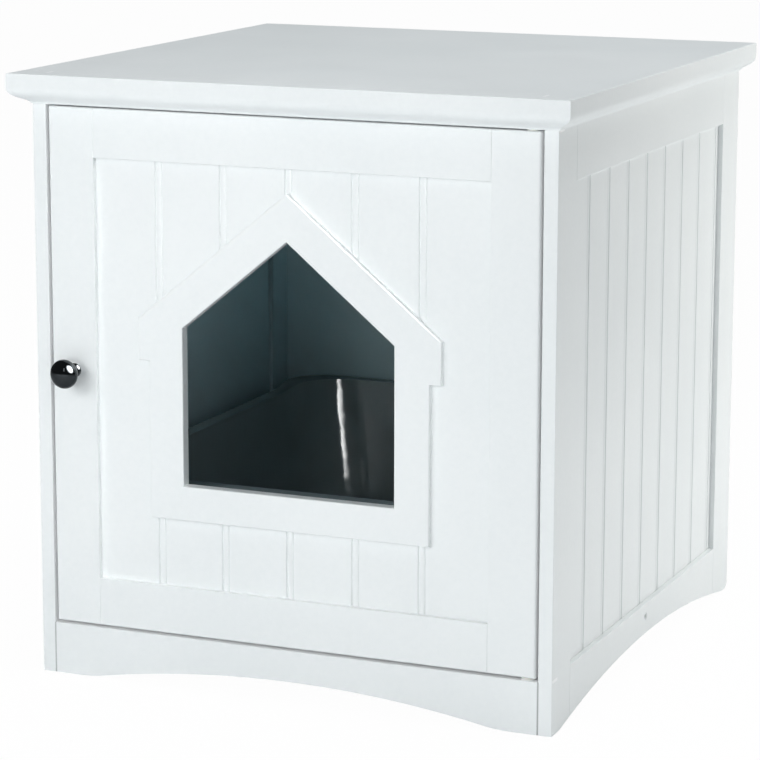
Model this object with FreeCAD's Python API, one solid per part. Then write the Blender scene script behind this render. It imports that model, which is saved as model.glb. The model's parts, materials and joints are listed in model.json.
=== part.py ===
"""Litter box cabinet: a framed cabinet with a hinged front door that has a house-shaped doorway.

Millimetres. +Z is up, the door faces -Y and +X is to the right as seen from the front.
The origin is under the middle of the whole object's box, on the floor.
"""
import FreeCAD, Part
import math
import os

V = FreeCAD.Vector

# ---- sizes of the cabinet ------------------------------------------------------------------
body_width = 460.0              # over the two sides
body_depth = 486.0              # front edge of the sides to their rear edge
body_height = 486.0             # floor to the underside of the top
board = 12.0                    # thickness of every framed or plain board
arris = 0.6                     # rounding of the painted edges
top_thickness = 25.5
top_side_overhang = 15.0
top_front_overhang = 17.5
top_rear_overhang = 2.2
top_edge_face = 11.5            # height of the upright face round the top
side_front_stile = 43.0
side_rear_stile = 46.5
side_top_rail = 44.0
side_bottom_rail_top = 48.0     # height of the bottom rail's upper edge
side_arch_rise = 21.5
side_foot = 18.0                # flat foot at each end of the side's arch
side_foot_blend = 80.0          # radius where the side's arch runs into its feet
rear_foot_radius = 8.0
apron_height = 44.0
apron_arch_rise = 17.5
apron_foot = 35.0               # flat foot at each end of the apron's arch
apron_foot_blend = 120.0        # radius where the apron's arch runs into its feet
floor_screw_height = 36.4       # middle of the floor panel's edge
floor_screw_depth = 239.0       # from the front edge of the sides
back_bottom = 26.0              # the back panel stops this far above the floor
stretcher_height = 40.0

# ---- sizes of the door ---------------------------------------------------------------------
latch_gap = 2.4
hinge_gap = 2.4
door_bottom_gap = 2.2
door_top_gap = 1.6
door_round = 2.0                # rounding of the door's outer edges
door_member = 41.0              # width of the door's stiles and rails
panel_thickness = 4.5
panel_recess = 4.5              # face of a panel behind the face of its frame
groove_depth = 6.0              # grooves that hold the panels
panel_entry = 5.5               # how far a panel's edge goes into its groove
door_bead_pitch = 58.3
side_bead_pitch = 49.2
side_bead_first = 85.0          # first bead behind the front edge of the side
bead_width = 5.5                # between the two fine channels of a bead
quirk_width = 1.8
quirk_depth = 1.5
doorway_width = 188.0
doorway_offset = 0.6            # the doorway and the beads from the door's middle, towards the latch
doorway_sill = 0.3586 * body_height
doorway_eaves = 0.6317 * body_height
doorway_peak = 0.7907 * body_height
surround_band = 30.5
surround_sill_band = 29.3
surround_thickness = 5.0
surround_arris = 1.2
eaves_overhang = 10.0
eaves_drop = 35.5               # height of the upright end of each eave

# ---- knob, pivots and catch ----------------------------------------------------------------
knob_drop = 1.0                 # knob below the middle of the door
knob_radius = 12.3
knob_rim_reach = 18.5           # from the door's face to the widest part of the knob
knob_reach = 26.0
knob_neck_radius = 5.0
knob_base_radius = 6.0
knob_screw_radius = 2.0
pin_radius = 2.0
pin_inset = 8.0                 # pivot pin in from the door's edge
pin_in_door = 14.0
bush_radius = 3.5
bush_length = 11.0
bush_flange_radius = 5.5
bush_flange = 1.2
catch_height = 0.823 * body_height   # middle of the magnetic catch above the floor
catch_length = 44.0
catch_block = 26.0
catch_depth = 14.0
catch_ear = 3.0

# ---- joinery --------------------------------------------------------------------------------
dowel_radius = 3.0
dowel_half = 15.0               # dowel in each member of a frame corner
top_dowel_drops = (33.0, 20.0)  # dowels in a side's top rail, below the top
cam_radius = 6.0
cam_inset = 24.0                # cam centre from the edge that it pulls on
bolt_radius = 2.4
bolt_head_radius = 2.9
bolt_reach = 8.0                # bolt in the board that it pulls
cam_heights = (0.27 * body_height, 0.823 * body_height)     # cams in the back panel
top_cam_setback = 120.0         # cams in the top rails, from either end of the side
screw_radius = 2.5
screw_head_radius = 3.5
screw_length = 50.0

# ---- litter pan -----------------------------------------------------------------------------
pan_width = 400.0               # over the rim
pan_front = 30.0                # rim behind the front edge of the sides
pan_back = 470.0
pan_height = 126.0
pan_lip = 9.0
pan_taper = 26.0                # each wall leans out this far from its foot to its rim
pan_wall = 2.2
pan_corner = 55.0
pan_rim_corner = 40.0
pan_bottom_radius = 12.0
pan_rear_rise = 5.0             # the rear of the rim stands this much higher

# ---- clearances -----------------------------------------------------------------------------
fit = 0.05                      # dowels, pins, screws and panels in their holes and grooves
loose = 0.3                     # between pieces that move past each other
end_gap = 0.5                   # past the end of a dowel, pin or tongue
resting = 0.2                   # under the pan
cam_depth = board / 2 + bolt_head_radius + loose

# ---- places that follow from the sizes --------------------------------------------------------
front = -(body_depth + top_rear_overhang - knob_reach) / 2
rear = front + body_depth
outer = body_width / 2
inner = outer - board
top_underside = body_height
top_upper = body_height + top_thickness
door_left = -inner + latch_gap
door_right = inner - hinge_gap
panel_middle = (door_left + door_right) / 2 - doorway_offset
door_low = apron_height + door_bottom_gap
door_high = body_height - door_top_gap
door_back = front + board
mid_board = front + board / 2
rail_left = door_left + door_member
rail_right = door_right - door_member
rail_low = door_low + door_member
rail_high = door_high - door_member
floor_top = floor_screw_height + board / 2
floor_low = floor_screw_height - board / 2
back_face = rear - board
roof_slope = (doorway_peak - doorway_eaves) / (doorway_width / 2)
pin_x = door_right - pin_inset
door_sweep = math.hypot(pin_inset, board / 2)    # the pivot pin to the door's hinge-side corners
stretcher_face = mid_board + door_sweep + 2 * loose
knob_x = door_left + door_member / 2
knob_z = (door_low + door_high) / 2 - knob_drop


# ---- shapes used by many pieces ---------------------------------------------------------------
def block(x0, x1, y0, y1, z0, z1):
    """Box between two corners."""
    return Part.makeBox(x1 - x0, y1 - y0, z1 - z0, V(x0, y0, z0))


def rod(radius, start, end):
    """Round bar from one point to another."""
    a = V(*start)
    b = V(*end)
    return Part.makeCylinder(radius, (b - a).Length, a, b - a)


def tube(radius, bore, start, end):
    """Round bar with a hole through it."""
    a = V(*start)
    b = V(*end)
    hole = Part.makeCylinder(bore, (b - a).Length + 2, a - (b - a).normalize(), b - a)
    return rod(radius, start, end).cut(hole)


def prism(points, travel):
    """Flat outline pushed along a vector."""
    corners = [V(*p) for p in points]
    return Part.Face(Part.makePolygon(corners + [corners[0]])).extrude(V(*travel))


def lies_in(edge, planes):
    """True if the edge lies in every plane, each given as an axis letter and a value."""
    box = edge.BoundBox
    spans = {"x": (box.XMin, box.XMax), "y": (box.YMin, box.YMax), "z": (box.ZMin, box.ZMax)}
    return all(max(abs(v - spans[axis][0]), abs(v - spans[axis][1])) < 1e-4 for axis, v in planes)


def eased(shape, radius, *arrises):
    """Round the edges that lie in the given pairs of planes."""
    chosen = [e for e in shape.Edges if any(lies_in(e, planes) for planes in arrises)]
    return shape.makeFillet(radius, chosen)


def group(shapes):
    """Separate solids of identical fasteners as one piece."""
    return Part.makeCompound(shapes)


def cut_all(shape, tools):
    """Shape with every tool taken out."""
    return shape.cut(tools) if tools else shape


def mirrored(shape):
    """Left-hand copy of a right-hand piece."""
    return shape.mirror(V(0, 0, 0), V(1, 0, 0))


def arch(span, rise, centre, direction, length):
    """Round bar whose upper side is the arch of the given span and rise above the floor."""
    half = span / 2
    radius = (rise * rise + half * half) / (2 * rise)
    middle = V(*centre) + V(0, 0, rise - radius)
    along = V(*direction)
    return Part.makeCylinder(radius, length, middle - along * (length / 2), along)


def holes(pegs, radius, gap):
    """Sockets for round pegs: wider by the fit and longer by the end gap."""
    tools = []
    for start, end in pegs:
        along = (V(*end) - V(*start)).normalize() * gap
        tools.append(rod(radius + fit, tuple(V(*start) - along), tuple(V(*end) + along)))
    return tools


# ---- places of the hidden joinery, each peg as its two ends -------------------------------------
def side_frame_pegs():
    """Dowels in the corners of the right side's frame."""
    x = outer - board / 2
    pegs = []
    for y in (front + side_front_stile, rear - side_rear_stile):
        for z in [17.0, 32.0] + [body_height - drop for drop in top_dowel_drops]:
            pegs.append(((x, y - dowel_half, z), (x, y + dowel_half, z)))
    return pegs


def door_frame_pegs():
    """Dowels in the corners of the door's frame."""
    pegs = []
    for x in (rail_left, rail_right):
        for up in (0.23 * door_member, 0.6 * door_member):
            for z in (door_low + up, door_high - up):
                pegs.append(((x - dowel_half, mid_board, z), (x + dowel_half, mid_board, z)))
    return pegs


def carcass_pegs():
    """Dowels between the right side and the top, floor, apron and stretcher."""
    into_side = inner + 8.0
    stretcher = stretcher_face + board / 2
    beside = 3 * dowel_radius + end_gap
    x = outer - board / 2
    pegs = []
    for y in (stretcher + beside, rear - 30.0):
        pegs.append(((x, y, body_height - 12.0), (x, y, body_height + 10.0)))
    for y in (front + 70.0, rear - 86.0):
        pegs.append(((inner - 18.0, y, floor_screw_height), (into_side, y, floor_screw_height)))
    below_bush = apron_height - bush_length - 2 * dowel_radius - 2.0
    for z in (below_bush - 14.0, below_bush):
        pegs.append(((inner - 18.0, mid_board, z), (into_side, mid_board, z)))
    for drop in (sum(top_dowel_drops) / 2, 9.0):
        z = body_height - drop
        pegs.append(((inner - 18.0, stretcher, z), (into_side, stretcher, z)))
    return pegs


def both_sides(pegs):
    """Pegs of the right side and their mirror images."""
    return pegs + [((-a[0], a[1], a[2]), (-b[0], b[1], b[2])) for a, b in pegs]


def top_cam_places():
    """Cam centres in the right side's top rail."""
    places = (top_cam_setback, body_depth - top_cam_setback)
    return [(inner, front + y, body_height - cam_inset) for y in places]


def back_cam_places():
    """Cam centres in the back panel, at its right edge."""
    return [(inner - cam_inset, back_face, z) for z in cam_heights]


def floor_screw_ends():
    """Axis of the screw that holds the floor panel to the right side."""
    y = front + floor_screw_depth
    return ((outer, y, floor_screw_height), (outer - screw_length, y, floor_screw_height))


def turned(place, inward, pull, shape):
    """Cam or bolt drawn at the origin, set into a board at its place.

    It is drawn with the board's inside at +Z = 0 going down and the pulled edge towards +X.
    """
    z = V(*inward) * -1
    x = V(*pull)
    y = z.cross(x)
    frame = FreeCAD.Matrix(x.x, y.x, z.x, place[0], x.y, y.y, z.y, place[1],
                           x.z, y.z, z.z, place[2], 0, 0, 0, 1)
    copy = shape.copy()
    copy.transformShape(frame)
    return copy


def cam():
    """Cam with the slot for its bolt and a cross recess in its face."""
    body = rod(cam_radius - 0.1, (0, 0, -0.2), (0, 0, -cam_depth))
    slot = block(-bolt_head_radius - loose, cam_radius + 1, -bolt_head_radius - loose,
                 bolt_head_radius + loose, -cam_depth - 1, -2.7)
    cross = block(-3.5, 3.5, -0.6, 0.6, -1.2, 1).fuse(block(-0.6, 0.6, -3.5, 3.5, -1.2, 1))
    return body.cut(slot).cut(cross)


def cam_bolt():
    """Bolt from the cam's middle into the board that it pulls."""
    depth = -board / 2
    shank = rod(bolt_radius, (0, 0, depth), (cam_inset + bolt_reach, 0, depth))
    head = rod(bolt_head_radius, (-1.5, 0, depth), (1.5, 0, depth))
    return shank.fuse(head).removeSplitter()


def cam_pocket():
    """Room for a cam and the hole for its bolt, up to the edge of the board."""
    depth = -board / 2
    pocket = rod(cam_radius, (0, 0, 1), (0, 0, -cam_depth - 0.3))
    return pocket.fuse(rod(bolt_radius + fit, (0, 0, depth), (cam_inset + bolt_reach + end_gap, 0, depth)))


def cam_sets(shape):
    """The shape at every cam of the right half: (in the side rail, in the back panel)."""
    rails = [turned(p, (1, 0, 0), (0, 0, 1), shape) for p in top_cam_places()]
    backs = [turned(p, (0, 1, 0), (1, 0, 0), shape) for p in back_cam_places()]
    return rails, backs


# ---- top --------------------------------------------------------------------------------------
def moulded_edge(overhang):
    """Points of the top's edge at the end of a section: land, ogee end, upright face, crown."""
    ogee_high = top_upper - top_edge_face
    return {"land": (1.0, top_underside), "ogee": (overhang, ogee_high),
            "face": (overhang, top_upper - 1.0), "crown": (overhang - 1.0, top_upper)}


def edge_curves(body_edge, overhang, sign, point):
    """Curves of one moulded edge, from the underside up to the crown."""
    mark = moulded_edge(overhang)
    rise = top_upper - top_edge_face - top_underside

    def at(out, height):
        return point(body_edge + sign * out, height)

    ogee = Part.BezierCurve()
    ogee.setPoles([at(*mark["land"]), at(1.8, top_underside + 0.26 * rise),
                   at(0.6 * overhang, top_underside + 0.34 * rise),
                   at(overhang, top_underside + 0.52 * rise), at(*mark["ogee"])])
    bend = at(overhang - 0.3, top_upper - 0.3)
    return [ogee.toShape(), Part.makeLine(at(*mark["ogee"]), at(*mark["face"])),
            Part.Arc(at(*mark["face"]), bend, at(*mark["crown"])).toShape()]


def top_board():
    """Top with an ogee worked under its front and side edges."""
    def on_x(a, z):
        return V(a, front - top_front_overhang - 5, z)

    def on_y(a, z):
        return V(-outer - top_side_overhang - 5, a, z)

    left = edge_curves(-outer, top_side_overhang, -1, on_x)
    right = edge_curves(outer, top_side_overhang, 1, on_x)
    width = Part.Wire(Part.__sortEdges__(
        left + right + [Part.makeLine(on_x(-outer - 1.0, top_underside), on_x(outer + 1.0, top_underside)),
                        Part.makeLine(on_x(-outer - top_side_overhang + 1.0, top_upper),
                                      on_x(outer + top_side_overhang - 1.0, top_upper))]))
    nose = edge_curves(front, top_front_overhang, -1, on_y)
    back_edge = rear + top_rear_overhang
    tail = [Part.makeLine(on_y(front - 1.0, top_underside), on_y(back_edge, top_underside)),
            Part.makeLine(on_y(back_edge, top_underside), on_y(back_edge, top_upper - 1.0)),
            Part.Arc(on_y(back_edge, top_upper - 1.0), on_y(back_edge - 0.3, top_upper - 0.3),
                     on_y(back_edge - 1.0, top_upper)).toShape(),
            Part.makeLine(on_y(back_edge - 1.0, top_upper),
                          on_y(front - top_front_overhang + 1.0, top_upper))]
    depth = Part.Wire(Part.__sortEdges__(nose + tail))
    across = Part.Face(width).extrude(V(0, body_depth + top_front_overhang + 20, 0))
    along = Part.Face(depth).extrude(V(body_width + 2 * top_side_overhang + 10, 0, 0))
    shape = across.common(along)
    tools = holes(both_sides(carcass_pegs()), dowel_radius, end_gap)
    tools.append(rod(bush_radius + fit, (pin_x, mid_board, top_underside - 1),
                     (pin_x, mid_board, top_underside + bush_length + end_gap)))
    rails, backs = cam_sets(cam_pocket())
    tools += rails + [mirrored(r) for r in rails]
    return cut_all(shape, tools)


# ---- sides --------------------------------------------------------------------------------------
def side_tools():
    """Everything that is cut out of the right side's frame."""
    side_span = body_depth - 2 * side_foot
    centre = (outer, (front + rear) / 2, 0)
    tools = [arch(side_span, side_arch_rise, centre, (1, 0, 0), 4 * board)]
    tools += holes(side_frame_pegs() + carcass_pegs(), dowel_radius, end_gap)
    rails, backs = cam_sets(cam_pocket())
    tools += rails + backs
    start, end = floor_screw_ends()
    tools.append(rod(screw_radius + fit, start, end))
    tools.append(rod(screw_head_radius + fit, start, (outer - 4.5, start[1], start[2])))
    groove_y0 = front + side_front_stile - groove_depth
    groove_y1 = rear - side_rear_stile + groove_depth
    tools.append(block(outer - panel_recess - panel_thickness - fit, outer - panel_recess + fit,
                       groove_y0, groove_y1, side_bottom_rail_top - groove_depth,
                       body_height - side_top_rail + groove_depth))
    return tools


def side_member(y0, y1, z0, z1, *more):
    """Board of the right side's frame with its arrises eased."""
    shape = block(inner, outer, y0, y1, z0, z1)
    marks = [(("x", outer), ("y", y0)), (("x", outer), ("y", y1))]
    marks += [(("x", outer), ("z", z)) for z in (z0, z1) if 0 < z < body_height]
    marks += [(("x", inner), ("y", front))] if y0 == front else []
    return eased(shape, arris, *marks)


def foot_blended(shape, foot_end):
    """Stile whose arch runs softly into its flat foot."""
    return eased(shape, side_foot_blend, (("y", foot_end), ("z", 0.0)))


def side_front():
    """Front stile of the right side."""
    shape = cut_all(side_member(front, front + side_front_stile, 0, body_height), side_tools())
    return foot_blended(shape, front + side_foot)


def side_rear():
    """Rear stile of the right side, with a rounded foot."""
    shape = side_member(rear - side_rear_stile, rear, 0, body_height)
    corner = block(inner - 1, outer + 1, rear - rear_foot_radius, rear + 1, -1, rear_foot_radius)
    wheel = rod(rear_foot_radius, (inner - 1, rear - rear_foot_radius, rear_foot_radius),
                (outer + 1, rear - rear_foot_radius, rear_foot_radius))
    shape = cut_all(shape, side_tools() + [corner.cut(wheel)])
    return foot_blended(shape, rear - side_foot)


def side_rail(z0, z1):
    """Top or bottom rail of the right side."""
    return cut_all(side_member(front + side_front_stile, rear - side_rear_stile, z0, z1), side_tools())


def quirk_tools(centres, place, low, high):
    """Fine V channels in pairs, one pair for each bead. place gives a point from (along, depth)."""
    tools = []
    for centre in centres:
        for middle in (centre - bead_width / 2, centre + bead_width / 2):
            corners = [place(middle - quirk_width / 2, -0.2), place(middle + quirk_width / 2, -0.2),
                       place(middle, quirk_depth)]
            tools.append(prism([(x, y, low) for x, y in corners], (0, 0, high - low)))
    return tools


def side_panel():
    """Beaded panel of the right side, held in the frame's grooves."""
    face = outer - panel_recess
    y0 = front + side_front_stile - panel_entry
    y1 = rear - side_rear_stile + panel_entry
    z0 = side_bottom_rail_top - panel_entry
    z1 = body_height - side_top_rail + panel_entry
    shape = block(face - panel_thickness, face, y0, y1, z0, z1)
    centres = []
    y = front + side_bead_first
    while y < rear - side_rear_stile - bead_width:
        centres.append(y)
        y += side_bead_pitch
    return cut_all(shape, quirk_tools(centres, lambda a, d: (face - d, a), z0 - 1, z1 + 1))


# ---- plain boards of the carcass ------------------------------------------------------------------
def front_apron():
    """Arched board under the door, with the lower pivot's hole."""
    shape = block(-inner, inner, front, front + board, 0, apron_height)
    shape = eased(shape, arris, (("y", front), ("z", apron_height)))
    span = 2 * inner - 2 * apron_foot
    tools = [arch(span, apron_arch_rise, (0, front, 0), (0, 1, 0), 4 * board)]
    tools += holes(both_sides(carcass_pegs()), dowel_radius, end_gap)
    tools.append(rod(bush_radius + fit, (pin_x, mid_board, apron_height - bush_length - end_gap),
                     (pin_x, mid_board, apron_height + 1)))
    shape = cut_all(shape, tools)
    return eased(shape, apron_foot_blend, *[(("x", x), ("z", 0.0)) for x in (-span / 2, span / 2)])


def floor_panel():
    """Shelf that the pan stands on, between the apron and the back."""
    shape = block(-inner, inner, front + board, back_face, floor_low, floor_top)
    tools = holes(both_sides(carcass_pegs()), dowel_radius, end_gap)
    (sx, sy, sz), (ex, ey, ez) = floor_screw_ends()
    for sign in (1, -1):
        tools.append(rod(screw_radius + fit, (sign * sx, sy, sz), (sign * (ex - end_gap), ey, ez)))
    return cut_all(shape, tools)


def back_panel():
    """Plain back between the sides, with the pockets of its cams."""
    rails, backs = cam_sets(cam_pocket())
    shape = block(-inner, inner, back_face, rear, back_bottom, body_height)
    return cut_all(shape, backs + [mirrored(b) for b in backs])


def door_stop_stretcher():
    """Board under the top that the closed door stops just short of."""
    y0 = stretcher_face
    shape = block(-inner, inner, y0, y0 + board, body_height - stretcher_height, body_height)
    return cut_all(shape, holes(both_sides(carcass_pegs()), dowel_radius, end_gap))


def floor_screw():
    """Screw with a flush head and a hexagon socket, through the right side into the floor panel."""
    (sx, sy, sz), (ex, ey, ez) = floor_screw_ends()
    start = sx - 0.4
    head = rod(screw_head_radius, (start, sy, sz), (start - 4.0, sy, sz))
    shank = rod(screw_radius, (start - 3.9, sy, sz), (ex, ey, ez))
    corners = []
    for k in range(6):
        turn = math.radians(60 * k)
        corners.append((start + 1, sy + 2.3 * math.cos(turn), sz + 2.3 * math.sin(turn)))
    socket = prism(corners, (-4.0, 0, 0))
    return head.fuse(shank).cut(socket).removeSplitter()


# ---- door -----------------------------------------------------------------------------------------
def door_tools():
    """Everything that is cut out of the door's frame."""
    tools = holes(door_frame_pegs(), dowel_radius, end_gap)
    tools.append(block(rail_left - groove_depth, rail_right + groove_depth,
                       front + panel_recess - fit, front + panel_recess + panel_thickness + fit,
                       rail_low - groove_depth, rail_high + groove_depth))
    tools.append(rod(pin_radius + fit, (pin_x, mid_board, door_low - 1),
                     (pin_x, mid_board, door_low + pin_in_door + end_gap)))
    tools.append(rod(pin_radius + fit, (pin_x, mid_board, door_high - pin_in_door - end_gap),
                     (pin_x, mid_board, door_high + 1)))
    tools.append(rod(knob_screw_radius + fit, (knob_x, front - 1, knob_z), (knob_x, door_back + 1, knob_z)))
    tools.append(strike_screw_hole())
    return tools


def door_board(x0, x1, z0, z1):
    """Stile or rail of the door: its outer edges rounded, the other arrises of its face eased."""
    shape = block(x0, x1, front, door_back, z0, z1)
    marks = [("x", x0), ("x", x1), ("z", z0), ("z", z1)]
    outermost = [("x", door_left), ("x", door_right), ("z", door_low), ("z", door_high)]
    shape = eased(shape, door_round, *[(("y", front), mark) for mark in marks if mark in outermost])
    shape = eased(shape, arris, *[(("y", front), mark) for mark in marks if mark not in outermost])
    return cut_all(shape, door_tools())


def doorway_outline(y):
    """House-shaped doorway, seen from the front."""
    half = doorway_width / 2
    return [(panel_middle - half, y, doorway_sill), (panel_middle + half, y, doorway_sill),
            (panel_middle + half, y, doorway_eaves), (panel_middle, y, doorway_peak),
            (panel_middle - half, y, doorway_eaves)]


def surround_outline(y):
    """Outer edge of the doorway's surround: walls, eaves that step out, and a pitched roof."""
    wall = doorway_width / 2 + surround_band
    eave = wall + eaves_overhang
    peak = doorway_peak + surround_band / math.cos(math.atan(roof_slope))
    eave_high = peak - roof_slope * eave
    eave_low = eave_high - eaves_drop
    low = doorway_sill - surround_sill_band
    right = [(wall, low), (wall, eave_low), (eave, eave_low), (eave, eave_high), (0, peak)]
    left = [(-a, z) for a, z in reversed(right[:-1])]
    return [(panel_middle + a, y, z) for a, z in right + left]


def door_panel():
    """Beaded panel of the door with the doorway cut through it."""
    face = front + panel_recess
    z0 = rail_low - panel_entry
    z1 = rail_high + panel_entry
    shape = block(rail_left - panel_entry, rail_right + panel_entry, face, face + panel_thickness, z0, z1)
    centres = [panel_middle + door_bead_pitch * k for k in range(-2, 3)]
    tools = quirk_tools(centres, lambda a, d: (a, face + d), z0 - 1, z1 + 1)
    tools.append(prism(doorway_outline(face - 1), (0, panel_thickness + 2, 0)))
    return cut_all(shape, tools)


def house_surround():
    """Flat frame in the shape of a little house, fixed on the panel round the doorway."""
    back = front + panel_recess
    face = back - surround_thickness
    shape = prism(surround_outline(face), (0, surround_thickness, 0))
    shape = shape.cut(prism(doorway_outline(face - 1), (0, surround_thickness + 2, 0)))
    edges = [e for e in shape.Edges if lies_in(e, (("y", face),))]
    return shape.makeFillet(surround_arris, edges)


# ---- knob, pivots, catch ----------------------------------------------------------------------------
def knob():
    """Turned knob: round base, neck, and a wide head with a low dome."""
    def at(radius, reach):
        return V(knob_x + radius, front - reach, knob_z)

    flare = Part.BezierCurve()
    flare.setPoles([at(knob_neck_radius, 8.0), at(knob_neck_radius, 13.0),
                    at(knob_radius, 13.0), at(knob_radius, knob_rim_reach)])
    dome = Part.BezierCurve()
    dome.setPoles([at(knob_radius, knob_rim_reach), at(knob_radius, knob_rim_reach + 4.2),
                   at(0.56 * knob_radius, knob_reach), at(0, knob_reach)])
    edges = [Part.makeLine(at(0, 0), at(knob_base_radius, 0)),
             Part.makeLine(at(knob_base_radius, 0), at(knob_base_radius, 1.4)),
             Part.makeLine(at(knob_base_radius, 1.4), at(knob_neck_radius, 2.2)),
             Part.makeLine(at(knob_neck_radius, 2.2), at(knob_neck_radius, 8.0)),
             flare.toShape(), dome.toShape(), Part.makeLine(at(0, knob_reach), at(0, 0))]
    shape = Part.Face(Part.Wire(edges)).revolve(V(knob_x, front, knob_z), V(0, 1, 0), 360)
    hole = rod(knob_screw_radius + fit, (knob_x, front + 1, knob_z), (knob_x, front - 9.0, knob_z))
    return shape.cut(hole)


def knob_screw():
    """Screw through the stile into the knob, with a cross recess in its head."""
    head = rod(4.0, (knob_x, door_back, knob_z), (knob_x, door_back + 2.4, knob_z))
    head = head.makeFillet(0.8, [e for e in head.Edges if lies_in(e, (("y", door_back + 2.4),))])
    shank = rod(knob_screw_radius, (knob_x, front - 8.0, knob_z), (knob_x, door_back + 0.5, knob_z))
    recess = block(knob_x - 2, knob_x + 2, door_back + 1.2, door_back + 4, knob_z - 0.5, knob_z + 0.5)
    recess = recess.fuse(block(knob_x - 0.5, knob_x + 0.5, door_back + 1.2, door_back + 4,
                               knob_z - 2, knob_z + 2))
    return head.fuse(shank).cut(recess).removeSplitter()


def pivot_pin(low, high):
    """Pivot pin of the door."""
    return rod(pin_radius, (pin_x, mid_board, low), (pin_x, mid_board, high))


def pivot_bush(root, mouth, flange_end):
    """Flanged bush that a pivot pin turns in."""
    bore = pin_radius + fit
    sleeve = tube(bush_radius, bore, (pin_x, mid_board, root), (pin_x, mid_board, mouth))
    flange = tube(bush_flange_radius, bore, (pin_x, mid_board, mouth), (pin_x, mid_board, flange_end))
    return sleeve.fuse(flange).removeSplitter()


def pivot_washer():
    """Washer that carries the door on the lower bush."""
    low = apron_height + bush_flange + loose
    return tube(bush_flange_radius, pin_radius + fit, (pin_x, mid_board, low), (pin_x, mid_board, door_low))


def magnet_front():
    """Front of the catch's magnet, just behind the closed strike plate."""
    return door_back + 1.0 + loose


def catch_housing():
    """Moulded block with two ears, on the inside of the left side."""
    y0 = magnet_front() + 1.0
    y1 = y0 + 15.0
    low = catch_height - catch_block / 2
    body = block(-inner, -inner + catch_depth, y0, y1, low, low + catch_block)
    body = eased(body, 1.5, (("x", -inner + catch_depth), ("y", y1)),
                 (("x", -inner + catch_depth), ("z", low)),
                 (("x", -inner + catch_depth), ("z", low + catch_block)))
    ears = block(-inner, -inner + catch_ear, y0, y1,
                 catch_height - catch_length / 2, catch_height + catch_length / 2)
    shape = body.fuse(ears).removeSplitter()
    tools = [magnet_room(fit)]
    for (x0, y, z), (x1, _, _) in catch_screw_axes():
        tools.append(rod(1.5 + fit, (x0, y, z), (x1 + 5, y, z)))
    return cut_all(shape, tools)


def magnet_room(gap):
    """Space of the magnet between its two steel cheeks."""
    y0 = magnet_front()
    return block(-inner + 4.0 - gap, -inner + 11.0 + gap, y0, y0 + 12.0 + gap,
                 catch_height - 9.0 - gap, catch_height + 9.0 + gap)


def catch_screw_axes():
    """Catch screws, from their tips in the left side to their heads."""
    y = magnet_front() + 8.5
    axes = []
    for z in (catch_height - 17.5, catch_height + 17.5):
        axes.append(((-inner - 8.0, y, z), (-inner + catch_ear, y, z)))
    return axes


def catch_screw(axis):
    """Small pan-head screw through an ear of the catch."""
    (x0, y, z), (x1, _, _) = axis
    head = rod(3.0, (x1, y, z), (x1 + 1.8, y, z))
    head = head.makeFillet(0.7, [e for e in head.Edges if lies_in(e, (("x", x1 + 1.8),))])
    recess = block(x1 + 0.9, x1 + 3, y - 1.6, y + 1.6, z - 0.4, z + 0.4)
    recess = recess.fuse(block(x1 + 0.9, x1 + 3, y - 0.4, y + 0.4, z - 1.6, z + 1.6))
    return rod(1.5, (x0, y, z), (x1 + 0.4, y, z)).fuse(head).cut(recess).removeSplitter()


def catch_screw_holes():
    """Holes of the catch screws in the left side."""
    return holes([(a, b) for a, b in catch_screw_axes()], 1.5, end_gap)


def strike_x():
    """Middle of the strike plate, in line with the magnet."""
    return -inner + 9.0


def strike_plate():
    """Steel plate on the back of the latch stile, opposite the magnet."""
    x = strike_x()
    shape = block(x - 5.0, x + 8.0, door_back, door_back + 1.0, catch_height - 14.0, catch_height + 14.0)
    corners = [e for e in shape.Edges if e.BoundBox.YLength > 0.5]
    shape = shape.makeFillet(2.0, corners)
    sink = Part.makeCone(1.5 + fit, 2.6, 1.0, V(x + 4.0, door_back, catch_height), V(0, 1, 0))
    return shape.cut(sink)


def strike_screw_hole():
    """Hole of the strike plate's screw in the latch stile."""
    x = strike_x() + 4.0
    return rod(1.3 + fit, (x, door_back + 1, catch_height), (x, door_back - 8.0 - end_gap, catch_height))


def strike_screw():
    """Countersunk screw of the strike plate."""
    x = strike_x() + 4.0
    shank = rod(1.3, (x, door_back - 8.0, catch_height), (x, door_back + 0.2, catch_height))
    head = Part.makeCone(1.4, 2.45, 0.9, V(x, door_back, catch_height), V(0, 1, 0))
    recess = block(x - 1.3, x + 1.3, door_back + 0.4, door_back + 2, catch_height - 0.3, catch_height + 0.3)
    return shank.fuse(head).cut(recess).removeSplitter()


# ---- litter pan -----------------------------------------------------------------------------------
def rounded_outline(inset, corner, z):
    """Rounded rectangle inside the pan's rim, at a height."""
    x = pan_width / 2 - inset
    y0 = front + pan_front + inset
    y1 = front + pan_back - inset
    arc = corner * (1 - math.sqrt(0.5))
    curves = []
    bends = ((x, y0, -1, 1), (x, y1, -1, -1), (-x, y1, 1, -1), (-x, y0, 1, 1))
    ends = []
    for cx, cy, dx, dy in bends:
        along_y = V(cx, cy + dy * corner, z)
        along_x = V(cx + dx * corner, cy, z)
        middle = V(cx + dx * arc, cy + dy * arc, z)
        ends.append((along_x, middle, along_y))
    turns = [ends[0], ends[1][::-1], ends[2], ends[3][::-1]]
    for k, (a, m, b) in enumerate(turns):
        curves.append(Part.Arc(a, m, b).toShape())
        following = turns[(k + 1) % 4][0]
        curves.append(Part.makeLine(b, following))
    return Part.Wire(curves)


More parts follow.
